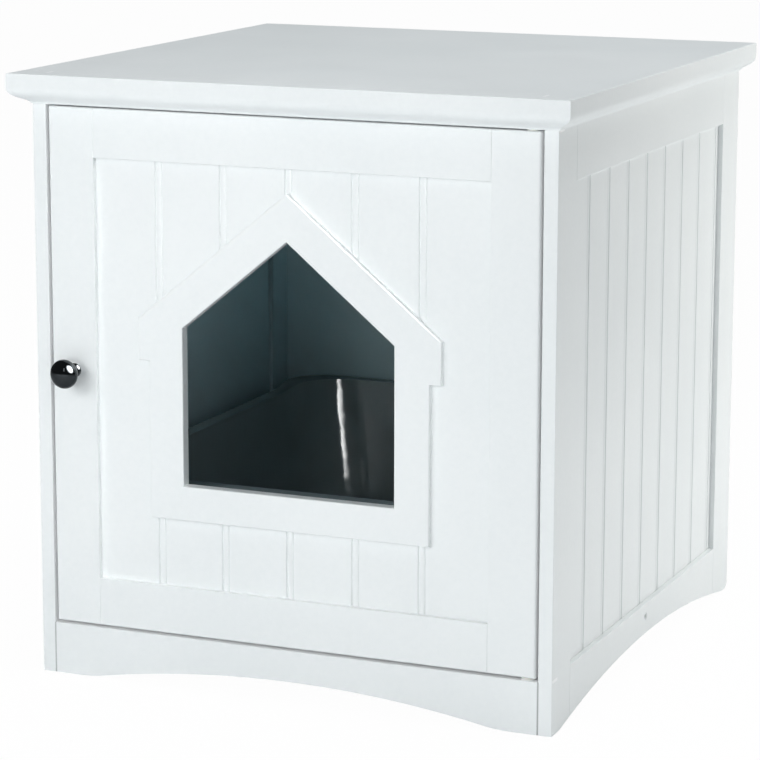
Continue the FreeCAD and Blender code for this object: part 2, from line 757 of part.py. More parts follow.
def pan_core(inset, low, high, corner, bottom_radius):
    """Drafted solid with a rounded bottom: the pan's outside, or the room inside it."""
    wires = [rounded_outline(inset + pan_taper, corner, low), rounded_outline(inset, corner + 4, high)]
    shape = Part.makeLoft(wires, True, True)
    edges = [e for e in shape.Edges if lies_in(e, (("z", low),))]
    return shape.makeFillet(bottom_radius, edges)


def litter_pan():
    """Deep pan with a rim that turns outwards and stands a little higher at the rear."""
    low = floor_top + resting
    high = low + pan_height
    tall = high + pan_rear_rise
    outside = pan_core(pan_lip, low, tall, pan_corner, pan_bottom_radius)
    room = pan_core(pan_lip + pan_wall, low + pan_wall + 0.3, tall + 1, pan_corner - pan_wall,
                    pan_bottom_radius - pan_wall)
    rim = Part.Face(rounded_outline(0, pan_rim_corner, high - 7.0)).extrude(V(0, 0, 7.0 + pan_rear_rise))
    skirt = Part.Face(rounded_outline(pan_wall, pan_rim_corner - pan_wall, high - 8.0))
    skirt = skirt.extrude(V(0, 0, 8.0 - pan_wall))
    level = rim_surface(high)
    turned_rim = rim.cut(level)
    skirt_room = rim_surface(high - pan_wall)
    lip = turned_rim.cut(skirt.fuse(skirt.translated(V(0, 0, pan_rear_rise))).cut(skirt_room))
    shape = outside.cut(level).fuse(lip).cut(room)
    return shape.removeSplitter()


def rim_surface(height):
    """Everything above the rim: level along the pan and rising in a smooth step near the rear."""
    y0 = front + pan_front - 20
    y1 = front + pan_back + 20
    step0 = front + pan_back - 75.0
    step1 = front + pan_back - 25.0
    x = -pan_width / 2 - 20
    rise = Part.BezierCurve()
    rise.setPoles([V(x, step0, height), V(x, (step0 + step1) / 2, height),
                   V(x, (step0 + step1) / 2, height + pan_rear_rise), V(x, step1, height + pan_rear_rise)])
    high = height + 60
    edges = [Part.makeLine(V(x, y0, height), V(x, step0, height)), rise.toShape(),
             Part.makeLine(V(x, step1, height + pan_rear_rise), V(x, y1, height + pan_rear_rise)),
             Part.makeLine(V(x, y1, height + pan_rear_rise), V(x, y1, high)),
             Part.makeLine(V(x, y1, high), V(x, y0, high)),
             Part.makeLine(V(x, y0, high), V(x, y0, height))]
    return Part.Face(Part.Wire(edges)).extrude(V(pan_width + 40, 0, 0))


# ---- the whole object -----------------------------------------------------------------------------
def carcass_pieces():
    """Cabinet without its door and pan."""
    stile = side_front()
    right = {"front_stile": stile, "rear_stile": side_rear(),
             "top_rail": side_rail(body_height - side_top_rail, body_height),
             "bottom_rail": side_rail(0, side_bottom_rail_top), "panel": side_panel()}
    pieces = {"top_board": top_board()}
    for name, shape in right.items():
        left = mirrored(shape)
        if name == "front_stile":
            left = cut_all(left, catch_screw_holes())
        pieces["right_side_" + name] = shape
        pieces["left_side_" + name] = left
    pieces["front_apron"] = front_apron()
    pieces["floor_panel"] = floor_panel()
    pieces["back_panel"] = back_panel()
    pieces["door_stop_stretcher"] = door_stop_stretcher()
    return pieces


def joinery_pieces():
    """Dowels, cams, bolts and screws of the cabinet."""
    cams = sum(cam_sets(cam()), [])
    bolts = sum(cam_sets(cam_bolt()), [])
    screw = floor_screw()
    frame_dowels = [rod(dowel_radius, a, b) for a, b in both_sides(side_frame_pegs())]
    carcass_dowels = [rod(dowel_radius, a, b) for a, b in both_sides(carcass_pegs())]
    return {"side_frame_dowels": group(frame_dowels), "carcass_dowels": group(carcass_dowels),
            "cam_locks": group(cams + [mirrored(c) for c in cams]),
            "cam_bolts": group(bolts + [mirrored(b) for b in bolts]),
            "floor_screws": group([screw, mirrored(screw)])}


def door_pieces():
    """Door with its knob, pivots and strike plate."""
    lower_root = apron_height - bush_length
    upper_root = top_underside + bush_length
    return {"door_hinge_stile": door_board(rail_right, door_right, door_low, door_high),
            "door_latch_stile": door_board(door_left, rail_left, door_low, door_high),
            "door_top_rail": door_board(rail_left, rail_right, rail_high, door_high),
            "door_bottom_rail": door_board(rail_left, rail_right, door_low, rail_low),
            "door_panel": door_panel(), "house_surround": house_surround(),
            "door_frame_dowels": group([rod(dowel_radius, a, b) for a, b in door_frame_pegs()]),
            "door_knob": knob(), "knob_screw": knob_screw(),
            "lower_pivot_pin": pivot_pin(lower_root + 1.0, door_low + pin_in_door),
            "upper_pivot_pin": pivot_pin(door_high - pin_in_door, upper_root - 1.0),
            "pivot_washer": pivot_washer(),
            "lower_pivot_bush": pivot_bush(lower_root, apron_height, apron_height + bush_flange),
            "upper_pivot_bush": pivot_bush(upper_root, top_underside, top_underside - bush_flange),
            "strike_plate": strike_plate(), "strike_screw": strike_screw(),
            "catch_housing": catch_housing(), "catch_magnet": magnet_room(0.0),
            "catch_screws": group([catch_screw(a) for a in catch_screw_axes()])}


def main():
    """Build every piece and write its file."""
    os.makedirs("parts", exist_ok=True)
    pieces = carcass_pieces()
    pieces.update(joinery_pieces())
    pieces.update(door_pieces())
    pieces["litter_pan"] = litter_pan()
    for name, shape in sorted(pieces.items()):
        box = shape.BoundBox
        print("%-24s %d solid(s) valid=%s x %.1f..%.1f y %.1f..%.1f z %.1f..%.1f" % (
            name, len(shape.Solids), shape.isValid(), box.XMin, box.XMax, box.YMin, box.YMax,
            box.ZMin, box.ZMax))
        shape.exportStep("parts/%s.step" % name)


main()
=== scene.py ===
"""Looks of the litter box cabinet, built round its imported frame. Metres, +Z up, door towards -Y."""
import json
import math

import bmesh
import bpy
from mathutils import Euler, Matrix, Vector

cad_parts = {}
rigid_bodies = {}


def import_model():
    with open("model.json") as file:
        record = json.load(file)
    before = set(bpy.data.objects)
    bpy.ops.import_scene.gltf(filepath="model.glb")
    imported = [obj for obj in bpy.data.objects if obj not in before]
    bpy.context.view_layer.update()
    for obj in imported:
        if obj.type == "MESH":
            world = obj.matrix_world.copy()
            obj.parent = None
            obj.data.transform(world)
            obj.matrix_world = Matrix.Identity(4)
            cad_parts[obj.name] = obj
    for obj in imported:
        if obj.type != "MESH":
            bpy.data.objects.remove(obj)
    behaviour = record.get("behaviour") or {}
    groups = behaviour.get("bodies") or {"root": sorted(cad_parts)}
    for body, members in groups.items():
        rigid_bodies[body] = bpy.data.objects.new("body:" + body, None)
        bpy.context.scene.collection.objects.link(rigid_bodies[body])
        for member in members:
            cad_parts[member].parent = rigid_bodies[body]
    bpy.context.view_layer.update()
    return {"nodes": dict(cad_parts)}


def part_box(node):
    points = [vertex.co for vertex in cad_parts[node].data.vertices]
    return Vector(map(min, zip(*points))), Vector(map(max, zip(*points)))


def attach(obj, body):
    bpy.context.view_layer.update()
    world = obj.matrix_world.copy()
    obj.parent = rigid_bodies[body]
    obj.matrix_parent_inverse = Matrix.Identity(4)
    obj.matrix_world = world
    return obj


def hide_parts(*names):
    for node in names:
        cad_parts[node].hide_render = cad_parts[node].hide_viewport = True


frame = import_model()
NODES = frame["nodes"]
SAME_POINT = 1e-6


# ---- node trees written as expressions ---------------------------------------------------------
class Wire:
    """A node's output in a tree. Arithmetic on it adds Math nodes to the tree."""

    def __init__(self, tree, socket=None):
        self.tree = tree
        self.socket = socket

    def add(self, kind, settings=None, inputs=None, out=0):
        """New node of a kind: its settings first, then the values or links of its sockets."""
        node = self.tree.nodes.new(kind)
        for name, value in (settings or {}).items():
            setattr(node, name, value)
        for name, value in (inputs or {}).items():
            socket = node.inputs[name]
            if isinstance(value, Wire):
                self.tree.links.new(value.socket, socket)
            else:
                socket.default_value = value
        return Wire(self.tree, node.outputs[out]) if node.outputs else Wire(self.tree)

    def out(self, name):
        """Another output of the same node."""
        return Wire(self.tree, self.socket.node.outputs[name])

    def math(self, operation, *values):
        """New Math node on some values."""
        return self.add("ShaderNodeMath", {"operation": operation}, dict(enumerate(values)))

    def __add__(self, other):
        return self.math("ADD", self, other)

    def __radd__(self, other):
        return self.math("ADD", other, self)

    def __sub__(self, other):
        return self.math("SUBTRACT", self, other)

    def __rsub__(self, other):
        return self.math("SUBTRACT", other, self)

    def __mul__(self, other):
        return self.math("MULTIPLY", self, other)

    def __rmul__(self, other):
        return self.math("MULTIPLY", other, self)

    def __truediv__(self, other):
        return self.math("DIVIDE", self, other)

    def __mod__(self, other):
        return self.math("FLOORED_MODULO", self, other)

    def __lt__(self, other):
        return self.math("LESS_THAN", self, other)

    def __gt__(self, other):
        return self.math("GREATER_THAN", self, other)

    def between(self, low, high):
        """0 below low, 1 above high, smooth between."""
        settings = {"interpolation_type": "SMOOTHSTEP"}
        return self.add("ShaderNodeMapRange", settings, {"Value": self, "From Min": low, "From Max": high})

    def near(self, middle, reach):
        """1 within reach of a middle value, 0 outside."""
        return self.math("COMPARE", self, middle, reach)


def noise(g, place, scale, detail=2.0, rough=0.5, stretch=None, seed=(0.0, 0.0, 0.0)):
    """Soft noise from 0 to 1 about 0.5. stretch lengthens it along an axis."""
    if stretch or any(seed):
        place = g.add("ShaderNodeMapping", None, {"Vector": place, "Location": seed,
                                                  "Scale": stretch or (1.0, 1.0, 1.0)})
    return g.add("ShaderNodeTexNoise", None, {"Vector": place, "Scale": scale, "Detail": detail,
                                              "Roughness": rough})


def blended(g, share, low, high):
    """Colour between two colours. The Mix node keeps its colours in sockets 6 and 7 and gives them at 2."""
    colours = {"Factor": share, 6: paint(low), 7: paint(high)}
    return g.add("ShaderNodeMix", {"data_type": "RGBA"}, colours, out=2)


def paint(colour):
    """A colour's value for a socket, or the link that it already is."""
    return colour if isinstance(colour, Wire) else (*colour, 1.0)


def material(name, build, **fixed):
    """Material whose shader gets its even values from fixed and its varying ones from build."""
    made = bpy.data.materials.new(name)
    made.use_nodes = True
    tree = made.node_tree
    shader = tree.nodes["Principled BSDF"]
    for socket, value in fixed.items():
        shader.inputs[socket.replace("_", " ")].default_value = value
    g = Wire(tree)
    place = g.add("ShaderNodeTexCoord", out="Object")
    for socket, value in build(g, place).items():
        tree.links.new(value.socket, shader.inputs[socket])
    return made


def bumped(g, height, depth):
    """Normal from a height map of a real depth in metres."""
    return g.add("ShaderNodeBump", None, {"Height": height, "Distance": depth, "Strength": 1.0})


def axes_of(g, place):
    """The three numbers of a place: X as it is, and Y and Z as its other outputs."""
    return g.add("ShaderNodeSeparateXYZ", None, {"Vector": place})


# ---- places of the white coats, read from the frame --------------------------------------------
DOOR_LOW, DOOR_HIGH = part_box("door_hinge_stile")
PANEL_LOW, PANEL_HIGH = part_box("right_side_panel")
APRON_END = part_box("front_apron")[1]
FLOOR_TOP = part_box("floor_panel")[1].z
BACK_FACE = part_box("back_panel")[0].y
TOP_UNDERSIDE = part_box("top_board")[0].z
REAR_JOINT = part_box("right_side_rear_stile")[0].y
SCREW_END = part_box("floor_screws")[1].x
PAST_FACE = 0.0005


def inner_faces(g, place):
    """1 on the inner faces of the cabinet and 0 on its outside, its door and its edges."""
    spot = axes_of(g, place)
    side = spot.math("ABSOLUTE", spot) < (PANEL_LOW.x + PANEL_HIGH.x) / 2
    deep = (spot.out("Y") > DOOR_HIGH.y + PAST_FACE) * (spot.out("Y") < BACK_FACE + PAST_FACE)
    high = (spot.out("Z") > FLOOR_TOP - PAST_FACE) * (spot.out("Z") < TOP_UNDERSIDE + PAST_FACE)
    return side * deep * high


def painted_shade_parts(g, place):
    """1 where shade is painted on the inner coat: low down beside the pan, and in the joints of the rear
    stiles.
    """
    foot_shaded, foot_lit = 0.16, 0.29
    joint_shaded, joint_lit = 0.001, 0.004
    spot = axes_of(g, place)
    past_joint = spot.out("Y") - REAR_JOINT
    joint = 1.0 - past_joint.math("ABSOLUTE", past_joint).between(joint_shaded, joint_lit)
    foot = 1.0 - spot.out("Z").between(foot_shaded, foot_lit)
    return foot.math("MAXIMUM", foot, joint)


def apron_seam_shade(g, place):
    """1 on the fine open seams between the apron and the front edges of the two sides, where their shade is
    painted grey.
    """
    half_seam = 0.0007
    front_depth = 0.0021
    spot = axes_of(g, place)
    seam_shade = spot.math("ABSOLUTE", spot).near(APRON_END.x, half_seam)
    front = spot.out("Y") < DOOR_LOW.y + front_depth
    return seam_shade * front * (spot.out("Z") < APRON_END.z)


def door_gap_light(g, place):
    """1 on the faces inside the narrow gaps round the door, where light is painted on as the palest white.
    """
    upright_reach, foot_reach, top_reach = 0.0013, 0.0013, 0.001
    spot = axes_of(g, place)
    deep = (spot.out("Y") > DOOR_LOW.y + PAST_FACE) * (spot.out("Y") < DOOR_HIGH.y + PAST_FACE)
    upright = spot.math("ABSOLUTE", spot).near((DOOR_HIGH.x + APRON_END.x) / 2, upright_reach)
    foot = spot.out("Z").near((APRON_END.z + DOOR_LOW.z) / 2, foot_reach)
    top = spot.out("Z").near((DOOR_HIGH.z + TOP_UNDERSIDE) / 2, top_reach)
    level = foot.math("MAXIMUM", foot, top)
    return deep * level.math("MAXIMUM", level, upright)


# ---- finishes ----------------------------------------------------------------------------------
def lacquer(low, high, inner_shade_tint, rough, peel_depth):
    """Sprayed satin lacquer: slow shifts of tone, fine orange peel and a slightly uneven sheen.

    The inner faces have a blue-green tint painted in for the colour of their shade, with more painted shade
    low down beside the pan and in the joints of the rear stiles. The apron's open seams have painted grey
    shade, and the faces inside the door's gaps are painted the palest white as painted light.
    """
    # Colours of painted shade on the inner faces, painted grey shade in the apron's open seams, and painted
    # light in the door's gaps.
    painted_shade_tint, seam_shade, gap_painted_light = (0.05, 0.09, 0.10), (0.2, 0.2, 0.2), (0.97, 0.975, 0.98)
    painted_shade_share, seam_shade_share = 0.4, 0.55

    def build(g, place):
        cloud = noise(g, place, 5.0, 3.0)
        speck = noise(g, place, 240.0, 2.0, seed=(3.1, 1.7, 0.4))
        peel = noise(g, place, 620.0, 2.0, 0.6)
        sag = noise(g, place, 42.0, 1.0, seed=(7.0, 2.0, 5.0))
        tone = (0.72 * cloud + 0.28 * speck).between(0.3, 0.7)
        sheen = noise(g, place, 16.0, 2.0, seed=(1.0, 9.0, 4.0))
        inside = inner_faces(g, place)
        # The inner faces get a blue-green tint painted in for the colour of their shade.
        coat = blended(g, inside * (0.85 + 0.15 * tone), blended(g, tone, low, high), inner_shade_tint)
        # Painted shade: darker low down beside the pan and in the joints of the rear stiles.
        coat = blended(g, painted_shade_share * inside * painted_shade_parts(g, place), coat, painted_shade_tint)
        # Painted grey shade in the apron's open seams.
        coat = blended(g, seam_shade_share * apron_seam_shade(g, place), coat, seam_shade)
        # Painted light: the faces inside the door's gaps are lightened to the palest white.
        coat = blended(g, door_gap_light(g, place) * (0.9 + 0.1 * tone), coat, gap_painted_light)
        return {"Base Color": coat,
                "Roughness": rough - 0.05 + 0.1 * sheen + 0.08 * inside,
                "Normal": bumped(g, 0.55 * peel + 0.45 * sag, peel_depth)}
    return build


def moulded_plastic(low, high, rough, grain_scale, grain_depth):
    """Injection-moulded plastic: fine spark-eroded grain and faint flow marks."""
    def build(g, place):
        grain = noise(g, place, grain_scale, 3.0, 0.6)
        flow = noise(g, place, 9.0, 2.0, stretch=(1.0, 0.3, 1.0), seed=(4.0, 0.0, 0.0))
        scuff = noise(g, place, 34.0, 5.0, 0.7, stretch=(0.4, 1.0, 1.0)).between(0.52, 0.75)
        return {"Base Color": blended(g, flow.between(0.3, 0.7), low, high),
                "Roughness": rough + 0.06 * grain + 0.07 * scuff,
                "Normal": bumped(g, grain + 0.4 * flow, grain_depth)}
    return build


def bright_metal(low, high, rough, scratch_depth):
    """Plated metal with a few hairline scratches and a film that is slightly uneven."""
    def build(g, place):
        film = noise(g, place, 60.0, 4.0, 0.6)
        hair = noise(g, place, 900.0, 2.0, 0.7, stretch=(0.08, 1.0, 1.0))
        return {"Base Color": blended(g, film.between(0.35, 0.65), low, high),
                "Roughness": rough + 0.5 * rough * film + 0.25 * rough * hair,
                "Normal": bumped(g, hair, scratch_depth)}
    return build


def spangled_zinc(g, place):
    """Bright zinc plating with small crystals of slightly different tone."""
    crystal = g.add("ShaderNodeTexVoronoi", None, {"Vector": place, "Scale": 900.0}, out="Color")
    tone = crystal.add("ShaderNodeSeparateColor", None, {"Color": crystal})
    film = noise(g, place, 150.0, 3.0)
    return {"Base Color": blended(g, 0.5 * tone + 0.5 * film, (0.55, 0.56, 0.58), (0.74, 0.75, 0.77)),
            "Roughness": 0.24 + 0.16 * film,
            "Normal": bumped(g, film, 0.00002)}


def painted_head(g, place):
    """Zinc screw whose head outside the boards is painted like them."""
    head_length = 0.0044
    look = spangled_zinc(g, place)
    spot = axes_of(g, place)
    head = spot.math("ABSOLUTE", spot) > SCREW_END - head_length
    wash = noise(g, place, 700.0, 2.0)
    coat = blended(g, wash, (0.78, 0.80, 0.81), (0.83, 0.85, 0.86))
    look["Base Color"] = blended(g, head, look["Base Color"], coat)
    look["Metallic"] = 1.0 - head
    return look


def beech_grain(g, place):
    """Beech: fine long pores and darker flecks along each dowel."""
    grain = g.add("ShaderNodeAttribute", {"attribute_name": "grain"}, out="Vector")
    pore = noise(g, grain, 900.0, 4.0, 0.6, stretch=(1.0, 1.0, 0.06))
    ring = noise(g, grain, 260.0, 2.0, stretch=(1.0, 0.4, 0.05), seed=(5.0, 1.0, 0.0))
    tone = (0.5 * pore + 0.5 * ring).between(0.3, 0.7)
    return {"Base Color": blended(g, tone, (0.50, 0.33, 0.18), (0.76, 0.58, 0.38)),
            "Roughness": 0.55 + 0.2 * pore,
            "Normal": bumped(g, pore, 0.00006)}


def sintered(g, place):
    """Pressed and fired ferrite: dark grains and small pits."""
    grain = g.add("ShaderNodeTexVoronoi", None, {"Vector": place, "Scale": 1600.0}, out="Distance")
    pit = noise(g, place, 500.0, 3.0).between(0.55, 0.7)
    return {"Base Color": blended(g, grain, (0.045, 0.045, 0.05), (0.12, 0.12, 0.125)),
            "Roughness": 0.55 + 0.25 * pit,
            "Normal": bumped(g, grain - pit, 0.00006)}


# The inner colour is a blue-green tint painted in for the colour of the inner faces' shade.
WHITE = material("white_lacquer_sprayed", lacquer(
    low=(0.80, 0.828, 0.830), high=(0.84, 0.863, 0.862), inner_shade_tint=(0.71, 0.92, 0.97),
    rough=0.40, peel_depth=0.00006), IOR=1.5)
PAN = material("pan_polypropylene", moulded_plastic(
    low=(0.20, 0.235, 0.245), high=(0.235, 0.27, 0.28), rough=0.04, grain_scale=700.0,
    grain_depth=0.00002), IOR=1.49)
NYLON = material("nylon_moulded", moulded_plastic(
    low=(0.80, 0.79, 0.75), high=(0.86, 0.85, 0.82), rough=0.42, grain_scale=500.0,
    grain_depth=0.00003), IOR=1.53, Subsurface_Weight=0.15, Subsurface_Scale=0.002)
CHROME = material("chrome_polished", bright_metal(
    low=(0.041, 0.045, 0.048), high=(0.051, 0.055, 0.058), rough=0.035,
    scratch_depth=0.000002), Metallic=1.0)
ZINC = material("zinc_spangled", spangled_zinc, Metallic=1.0)
PAINTED_HEAD = material("zinc_with_painted_head", painted_head)
BEECH = material("beech_turned", beech_grain, IOR=1.4)
FERRITE = material("ferrite_fired", sintered, IOR=1.5)


# ---- geometry trees ----------------------------------------------------------------------------
def geometry_tree(name, inputs, build):
    """Geometry tree with named inputs, from a function that gives its last geometry."""
    tree = bpy.data.node_groups.new(name, "GeometryNodeTree")
    tree.interface.new_socket("Geometry", in_out="INPUT", socket_type="NodeSocketGeometry")
    for label, (kind, value) in inputs.items():
        socket = tree.interface.new_socket(label, in_out="INPUT", socket_type="NodeSocket" + kind)
        if value is not None:
            socket.default_value = value
    tree.interface.new_socket("Geometry", in_out="OUTPUT", socket_type="NodeSocketGeometry")
    g = Wire(tree)
    given = g.add("NodeGroupInput")
    last = build(g, given)
    finish = g.add("GeometryNodeRealizeInstances", None, {"Geometry": last})
    finish = g.add("GeometryNodeSetMaterial", None, {"Geometry": finish, "Material": given.out("Finish")})
    g.add("NodeGroupOutput", None, {"Geometry": finish})
    return tree


def grown(name, tree, sizes, host_mesh):
    """Plain mesh object that a tree makes from a host mesh, with the modifier gone."""
    host = bpy.data.objects.new(name, host_mesh)
    bpy.context.scene.collection.objects.link(host)
    modifier = host.modifiers.new("grow", "NODES")
    modifier.node_group = tree
    for item in tree.interface.items_tree:
        if item.in_out == "INPUT" and item.name in sizes:
            modifier[item.identifier] = sizes[item.name]
    made_plain(host)
    host.data.materials.clear()
    host.data.materials.append(sizes["Finish"])
    host.data.polygons.foreach_set("material_index", [0] * len(host.data.polygons))
    return host


def made_plain(piece):
    """Piece with its modifiers turned into its own plain mesh."""
    bpy.context.view_layer.update()
    graph = bpy.context.evaluated_depsgraph_get()
    mesh = bpy.data.meshes.new_from_object(piece.evaluated_get(graph), preserve_all_data_layers=True,
                                           depsgraph=graph)
    piece.modifiers.clear()
    piece.data = mesh
    mesh.name = piece.name
    return piece


def smoothed(piece):
    """Piece shaded smooth but for its sharper edges."""
    sharp_from = 32.0
    for face in piece.data.polygons:
        face.use_smooth = True
    piece.data.set_sharp_from_angle(angle=math.radians(sharp_from))
    return piece


def tidied(piece):
    """Smoothed piece with its doubles merged and its normals outwards."""
    work = bmesh.new()
    work.from_mesh(piece.data)
    bmesh.ops.remove_doubles(work, verts=work.verts, dist=SAME_POINT)
    bmesh.ops.recalc_face_normals(work, faces=work.faces)
    work.to_mesh(piece.data)
    work.free()
    return smoothed(piece)


def polyline(name, points):
    """Mesh of one open line."""
    mesh = bpy.data.meshes.new(name)
    mesh.from_pydata(points, [(k, k + 1) for k in range(len(points) - 1)], [])
    return mesh


def beadboard(g, given):
    """Board with rounded beads between fine channels.

    It lies along X with its face at Y = 0 and rises in Z. Its outline is one bead's line set at every bead,
    with four corners. Each point's place along X orders the outline, and the back runs the other way.
    """
    points_across = 33
    half = 0.5 * given.out("Bead width")
    channel = 0.5 * given.out("Channel width")
    depth = given.out("Channel depth")
    reach = half + channel
    line = g.add("GeometryNodeMeshLine", {"mode": "END_POINTS"},
                 {"Count": points_across,
                  "Start Location": g.add("ShaderNodeCombineXYZ", None, {"X": 0.0 - reach}),
                  "Offset": g.add("ShaderNodeCombineXYZ", None, {"X": reach})})
    spot = g.add("GeometryNodeInputPosition")
    across = axes_of(g, spot)
    away = across.math("ABSOLUTE", across)
    share = away.math("MINIMUM", away / half, 1.0)
    bead = 1.0 - away.math("SQRT", 1.0 - share * share)
    wall = 1.0 - (away - half) / channel
    inner_part = away < half
    sunk = depth * (inner_part * bead + (1.0 - inner_part) * wall)
    line = g.add("GeometryNodeSetPosition", None,
                 {"Geometry": line, "Offset": g.add("ShaderNodeCombineXYZ", None, {"Y": sunk})})
    middles = g.add("GeometryNodeMeshLine", {"mode": "OFFSET"},
                    {"Count": given.out("Beads"),
                     "Start Location": g.add("ShaderNodeCombineXYZ", None, {"X": given.out("First bead")}),
                     "Offset": g.add("ShaderNodeCombineXYZ", None, {"X": given.out("Bead pitch")})})
    beads = g.add("GeometryNodeInstanceOnPoints", None, {"Points": middles, "Instance": line})
    beads = g.add("GeometryNodeRealizeInstances", None, {"Geometry": beads})
    corners = []
    for x, y in (("Left", 0.0), ("Right", 0.0), ("Right", 1.0), ("Left", 1.0)):
        place = g.add("ShaderNodeCombineXYZ", None, {"X": given.out(x), "Y": y * given.out("Thickness")})
        corners.append(g.add("GeometryNodeMeshLine", {"mode": "OFFSET"},
                             {"Count": 1, "Start Location": place}))
    outline = g.add("GeometryNodeJoinGeometry", None, {"Geometry": beads})
    for corner in corners:
        g.tree.links.new(corner.socket, outline.socket.node.inputs["Geometry"])
    points = g.add("GeometryNodeMeshToPoints", None, {"Mesh": outline})
    along = axes_of(g, spot)
    at_back = along.out("Y") > 0.9 * given.out("Thickness")
    past_front = 10.0
    order = along + at_back * (past_front - 2.0 * along)
    curve = g.add("GeometryNodePointsToCurves", None, {"Points": points, "Weight": order})
    curve = g.add("GeometryNodeSetSplineCyclic", None, {"Geometry": curve, "Cyclic": True})
    section = g.add("GeometryNodeFillCurve", {"mode": "NGONS"}, {"Curve": curve})
    height = given.out("Top") - given.out("Bottom")
    body = g.add("GeometryNodeExtrudeMesh", {"mode": "FACES"},
                 {"Mesh": section, "Offset": g.add("ShaderNodeCombineXYZ", None, {"Z": height}),
                  "Offset Scale": 1.0, "Individual": False})
    lid = g.add("GeometryNodeFlipFaces", None, {"Mesh": section})
    board = g.add("GeometryNodeJoinGeometry", None, {"Geometry": body})
    g.tree.links.new(lid.socket, board.socket.node.inputs["Geometry"])
    rise = g.add("ShaderNodeCombineXYZ", None, {"Z": given.out("Bottom")})
    return g.add("GeometryNodeTransform", None, {"Geometry": board, "Translation": rise})


def turned(g, given):
    """Piece turned from a half outline in X and Z, with flutes along it and a thread on part of it."""
    outline = g.add("GeometryNodeMeshToCurve", None, {"Mesh": given.out("Geometry")})
    grid = g.add("GeometryNodeMeshGrid", None, {"Size X": 1.0, "Size Y": 1.0,
                                                "Vertices X": given.out("Segments"),
                                                "Vertices Y": given.out("Rings")})
    cell = axes_of(g, g.add("GeometryNodeInputPosition"))
    round_share = cell + 0.5
    sample = g.add("GeometryNodeSampleCurve", {"mode": "FACTOR", "data_type": "FLOAT_VECTOR"},
                   {"Curves": outline, "Factor": cell.out("Y") + 0.5}, out="Position")
    spot = axes_of(g, sample)
    angle = round_share * (2.0 * math.pi)
    height = spot.out("Z")
    flute = angle.math("ABSOLUTE", angle.math("SINE", angle * (0.5 * given.out("Flutes"))))
    phase = (height / given.out("Pitch") - round_share) % 1.0
    crest = 1.0 - phase.math("ABSOLUTE", 2.0 * phase - 1.0)
    inside = (height > given.out("Thread from")) * (height < given.out("Thread to"))
    fluted = spot * (1.0 - given.out("Flute depth") * (1.0 - flute))
    radius = fluted + crest * inside * given.out("Thread depth")
    place = g.add("ShaderNodeCombineXYZ", None, {"X": radius * angle.math("COSINE", angle),
                                                 "Y": radius * angle.math("SINE", angle), "Z": height})
    shape = g.add("GeometryNodeSetPosition", None, {"Geometry": grid, "Position": place})
    return g.add("GeometryNodeMergeByDistance", None, {"Geometry": shape, "Distance": SAME_POINT})


def repeated(g, given):
    """One piece set at every point of the host, turned so that its Z follows the point's direction."""
    unit = g.add("GeometryNodeObjectInfo", {"transform_space": "ORIGINAL"}, {"Object": given.out("Piece")},
                 out="Geometry")
    local = g.add("GeometryNodeInputPosition")
    unit = g.add("GeometryNodeStoreNamedAttribute", {"data_type": "FLOAT_VECTOR", "domain": "POINT"},
                 {"Geometry": unit, "Name": "grain", "Value": local})
    heading = g.add("GeometryNodeInputNamedAttribute", {"data_type": "FLOAT_VECTOR"}, {"Name": "heading"})
    turn = g.add("FunctionNodeAlignRotationToVector", {"axis": "Z"}, {"Vector": heading})
    stretch = g.add("GeometryNodeInputNamedAttribute", {"data_type": "FLOAT"}, {"Name": "stretch"})
    scale = g.add("ShaderNodeCombineXYZ", None, {"X": 1.0, "Y": 1.0, "Z": stretch})
    return g.add("GeometryNodeInstanceOnPoints", None,
                 {"Points": given.out("Geometry"), "Instance": unit, "Rotation": turn, "Scale": scale})


FINISH = {"Finish": ("Material", None)}
BEADBOARD = geometry_tree("beadboard", {
    "Left": ("Float", 0.0), "Right": ("Float", 0.3), "Bottom": ("Float", 0.0), "Top": ("Float", 0.4),
    "Thickness": ("Float", 0.0045), "First bead": ("Float", 0.05), "Bead pitch": ("Float", 0.05),
    "Beads": ("Int", 5), "Bead width": ("Float", 0.0055), "Channel width": ("Float", 0.0018),
    "Channel depth": ("Float", 0.0015), **FINISH}, beadboard)
TURNED = geometry_tree("turned_piece", {
    "Segments": ("Int", 33), "Rings": ("Int", 120), "Flutes": ("Float", 0.0), "Flute depth": ("Float", 0.0),
    "Pitch": ("Float", 0.001), "Thread depth": ("Float", 0.0), "Thread from": ("Float", 0.0),
    "Thread to": ("Float", 0.0), **FINISH}, turned)
REPEATED = geometry_tree("repeated_piece", {"Piece": ("Object", None), **FINISH}, repeated)


# ---- beaded panels -----------------------------------------------------------------------------
START_LINE = [(0.0, 0.0, 0.0), (0.0, 0.0, 0.001)]


def cut_by(piece, cutter):
    """Piece with a closed shape taken out of it."""
    modifier = piece.modifiers.new("cut", "BOOLEAN")
    modifier.operation = "DIFFERENCE"
    modifier.solver = "EXACT"
    modifier.object = cutter
    made_plain(piece)
    bpy.data.objects.remove(cutter)
    return piece


def prism(name, outline, travel):
    """Closed prism from a flat outline pushed along a vector."""
    work = bmesh.new()
    face = work.faces.new([work.verts.new(p) for p in outline])
    pushed = bmesh.ops.extrude_face_region(work, geom=[face])
    verts = [v for v in pushed["geom"] if isinstance(v, bmesh.types.BMVert)]
    bmesh.ops.translate(work, verts=verts, vec=travel)
    bmesh.ops.recalc_face_normals(work, faces=work.faces)
    mesh = bpy.data.meshes.new(name)
    work.to_mesh(mesh)
    work.free()
    made = bpy.data.objects.new(name, mesh)
    bpy.context.scene.collection.objects.link(made)
    return made


def placed(piece, turn, shift):
    """Piece turned about Z and moved, with its place in its mesh."""
    piece.data.transform(Euler((0.0, 0.0, turn)).to_matrix().to_4x4())
    piece.data.transform(Matrix.Translation(shift))
    return piece


